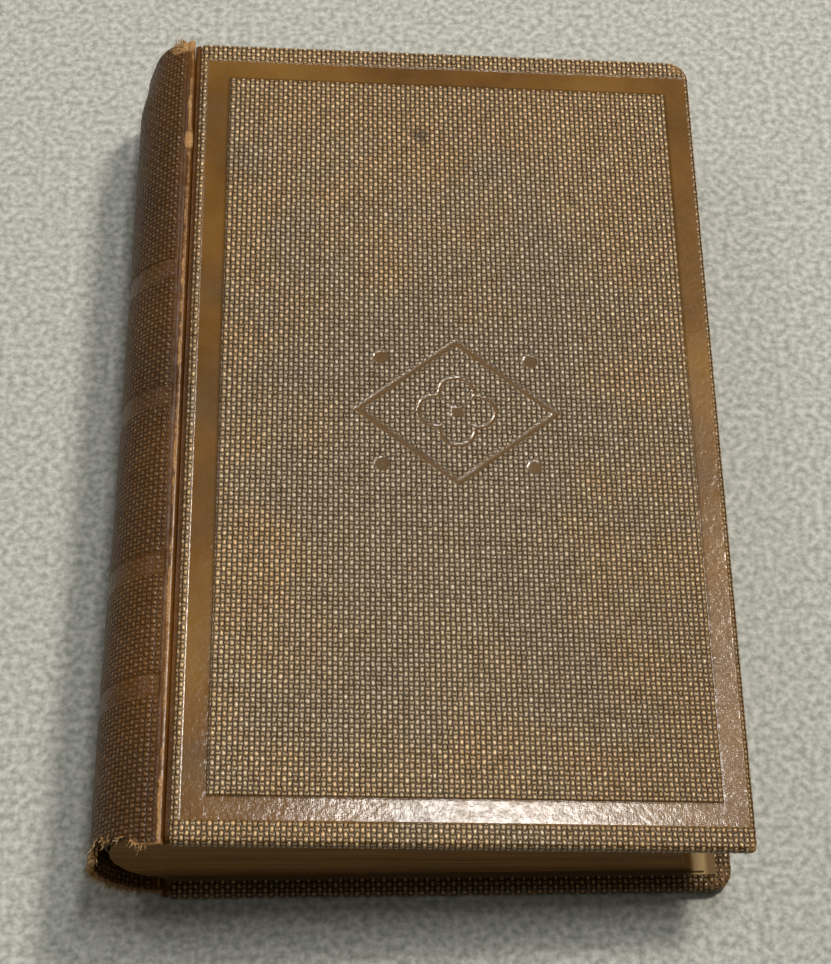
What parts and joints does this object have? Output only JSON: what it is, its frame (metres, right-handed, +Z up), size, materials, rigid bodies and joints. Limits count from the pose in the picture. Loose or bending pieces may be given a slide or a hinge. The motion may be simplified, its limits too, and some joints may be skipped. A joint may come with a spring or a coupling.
{
  "type": "hardback book",
  "caption": "Worn cloth-bound hardback book with a rounded spine, blind-stamped covers that open on both joints, and a text block with a hollow fore-edge.",
  "frame": {"origin": "middle of the footprint of the closed book, on the surface that its back cover lies on", "axes": "+X from the spine to the fore-edge, +Y from tail to head, +Z up out of the front cover"},
  "size_m": [0.1217, 0.1846, 0.0289],
  "materials": {
    "cloth": "brown bookcloth with a pressed bead grain, worn pale along the joints",
    "leaves": "matt, toned book paper, cut edges",
    "endpaper": "matt, toned paper with brown offset at its edges",
    "pasteboard": "raw grey-brown pasteboard",
    "lining": "glued paper and mull, brown with age",
    "stiffener": "thin card"
  },
  "bodies": {
    "book_block": {"text_block": "leaves", "spine_lining": "lining", "front_flyleaf": "endpaper", "back_flyleaf": "endpaper", "spine_cloth": "cloth", "spine_inlay": "stiffener"},
    "front_cover": {"front_board": "pasteboard", "front_cloth": "cloth", "front_pastedown": "endpaper"},
    "back_cover": {"back_board": "pasteboard", "back_cloth": "cloth", "back_pastedown": "endpaper"}
  },
  "joints": [
    {"name": "front_joint", "type": "hinge", "parent": "book_block", "child": "front_cover", "pos_m": [-0.04631, 0, 0.029], "axis": [0, -1, 0], "range_deg": [0, 180]},
    {"name": "back_joint", "type": "hinge", "parent": "book_block", "child": "back_cover", "pos_m": [-0.04891, 0, 0], "axis": [0, 1, 0], "range_deg": [0, 180]}
  ]
}
